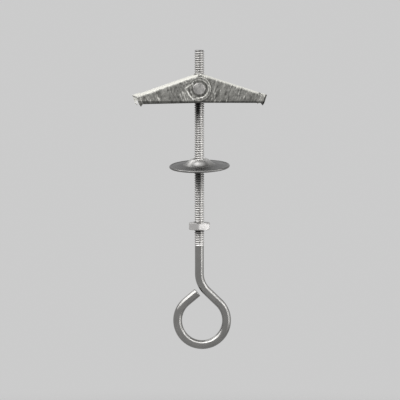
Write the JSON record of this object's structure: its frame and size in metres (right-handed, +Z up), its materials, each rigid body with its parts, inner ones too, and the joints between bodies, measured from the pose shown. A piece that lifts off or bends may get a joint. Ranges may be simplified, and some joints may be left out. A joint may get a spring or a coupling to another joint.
{
  "type": "ceiling anchor",
  "caption": "Spring toggle ceiling anchor: threaded eye bolt with two folding sprung wings, a domed cover washer and a lock nut.",
  "frame": {"origin": "on the bolt's axis, level with the teeth of the open wings, where they stand on the back of the ceiling board", "axes": "+Z up along the bolt's axis, from the eye to the threaded tip; the eye lies in the XZ plane, with its neck bent towards +X"},
  "size_m": [0.0625, 0.028, 0.1395],
  "materials": {
    "bolt_steel": "zinc-plated, rolled thread",
    "trunnion_steel": "zinc-plated, riveted ends",
    "wing_steel": "zinc-plated pressed sheet, finely scratched",
    "spring_steel": "drawn spring wire",
    "washer_steel": "zinc-plated pressed sheet, bright dome",
    "nut_steel": "zinc-plated"
  },
  "bodies": {
    "eye_bolt": {"eye_bolt": "bolt_steel"},
    "toggle": {"trunnion_nut": "trunnion_steel", "torsion_spring": "spring_steel"},
    "wing_left": {"wing_left": "wing_steel"},
    "wing_right": {"wing_right": "wing_steel"},
    "washer": {"cover_washer": "washer_steel"},
    "lock_nut": {"lock_nut": "nut_steel"}
  },
  "joints": [
    {"name": "toggle_travel", "type": "slide", "parent": "eye_bolt", "child": "toggle", "axis": [0, 0, 1], "range_m": [-0.0015, 0.0135]},
    {"name": "wing_left_fold", "type": "hinge", "parent": "toggle", "child": "wing_left", "pos_m": [0, 0, 0.00799], "axis": [-0.0349, -0.9994, 0], "range_deg": [0, 68], "stiffness_Nm_per_rad": 0.02, "springref_deg": -28.65, "deforming": ["torsion_spring"]},
    {"name": "wing_right_fold", "type": "hinge", "parent": "toggle", "child": "wing_right", "pos_m": [0, 0, 0.00799], "axis": [0.0349, 0.9994, 0], "range_deg": [0, 68], "stiffness_Nm_per_rad": 0.02, "springref_deg": -28.65, "deforming": ["torsion_spring"]},
    {"name": "washer_slide", "type": "slide", "parent": "eye_bolt", "child": "washer", "axis": [0, 0, 1], "range_m": [-0.0225, 0.0008]},
    {"name": "lock_nut_travel", "type": "slide", "parent": "eye_bolt", "child": "lock_nut", "axis": [0, 0, 1], "range_m": [-0.0065, 0.0055]}
  ]
}
